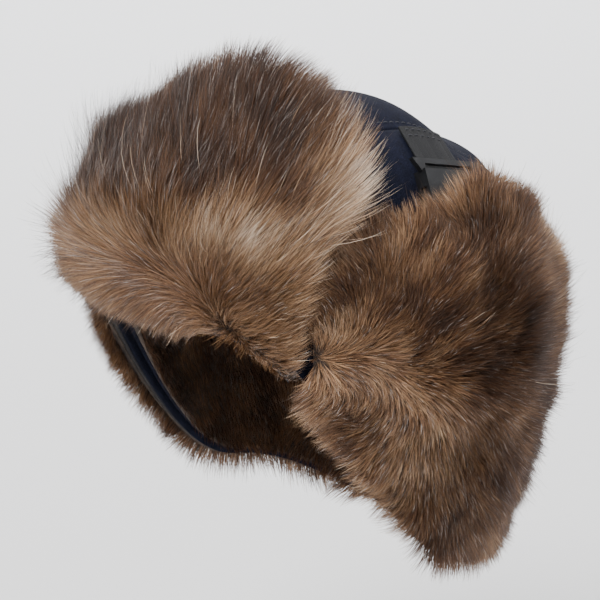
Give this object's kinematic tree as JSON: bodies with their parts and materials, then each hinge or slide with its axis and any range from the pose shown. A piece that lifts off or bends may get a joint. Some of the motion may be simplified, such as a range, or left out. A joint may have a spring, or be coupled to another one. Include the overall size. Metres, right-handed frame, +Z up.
{
  "type": "trapper hat",
  "caption": "Fur trapper hat with a wool crown, a fur brim and ear and neck flaps turned up, and the ear flaps held by webbing tabs and side-release buckles.",
  "frame": {"origin": "centre of the head opening, level with the fur's lower edge over the forehead", "axes": "+Z up, -Y the wearer's front, +X the wearer's left"},
  "size_m": [0.2416, 0.2461, 0.262],
  "materials": {
    "navy_wool": "matte fulled wool melton",
    "batting": "polyester wadding",
    "lining_satin": "quilted satin, low sheen",
    "ribbon": "ribbed grosgrain ribbon",
    "felt": "needle felt",
    "brim_fur": "long glossy guard hair over dense underfur",
    "flap_fur": "dense plush fur, soft sheen",
    "skirt_fur": "short dense fur",
    "webbing": "herringbone weave, matte",
    "black_plastic": "moulded acetal, low gloss"
  },
  "bodies": {
    "crown": {"crown_centre_panel": "navy_wool", "crown_left_panel": "navy_wool", "crown_right_panel": "navy_wool", "batting_centre_panel": "batting", "batting_left_panel": "batting", "batting_right_panel": "batting", "lining_centre_panel": "lining_satin", "lining_left_panel": "lining_satin", "lining_right_panel": "lining_satin", "sweatband": "ribbon", "left_ear_skirt": "navy_wool", "left_ear_skirt_fur": "skirt_fur", "nape_skirt": "navy_wool", "nape_skirt_fur": "skirt_fur", "right_ear_skirt": "navy_wool", "right_ear_skirt_fur": "skirt_fur", "left_crown_tab": "webbing", "left_buckle_socket": "black_plastic", "right_crown_tab": "webbing", "right_buckle_socket": "black_plastic"},
    "brim": {"brim_backing": "navy_wool", "brim_stiffener": "felt", "brim_fur": "brim_fur"},
    "left_flap": {"left_flap_backing": "navy_wool", "left_flap_interlining": "felt", "left_flap_fur": "flap_fur", "left_flap_strap": "webbing"},
    "right_flap": {"right_flap_backing": "navy_wool", "right_flap_interlining": "felt", "right_flap_fur": "flap_fur", "right_flap_strap": "webbing"},
    "neck_flap": {"neck_flap_backing": "navy_wool", "neck_flap_interlining": "felt", "neck_flap_fur": "flap_fur"},
    "left_plug": {"left_buckle_plug": "black_plastic"},
    "right_plug": {"right_buckle_plug": "black_plastic"}
  },
  "joints": [
    {"name": "brim_fold", "type": "hinge", "parent": "crown", "child": "brim", "pos_m": [0, -0.1, -0.002], "axis": [1, 0, 0], "range_deg": [0, 150]},
    {"name": "left_flap_fold", "type": "hinge", "parent": "crown", "child": "left_flap", "pos_m": [0.072, 0.03, -0.122], "axis": [-0.4548, 0.8269, -0.3308], "range_deg": [0, 160]},
    {"name": "right_flap_fold", "type": "hinge", "parent": "crown", "child": "right_flap", "pos_m": [-0.072, 0.03, -0.122], "axis": [-0.4548, -0.8269, 0.3308], "range_deg": [0, 160]},
    {"name": "neck_flap_fold", "type": "hinge", "parent": "crown", "child": "neck_flap", "pos_m": [0, 0.07, -0.145], "axis": [-1, 0, 0], "range_deg": [0, 150]},
    {"name": "left_buckle_slide", "type": "slide", "parent": "left_flap", "child": "left_plug", "axis": [0.5707, -0.1934, -0.7981], "range_m": [0, 0.008]},
    {"name": "right_buckle_slide", "type": "slide", "parent": "right_flap", "child": "right_plug", "axis": [-0.5707, -0.1934, -0.7981], "range_m": [0, 0.008]}
  ]
}
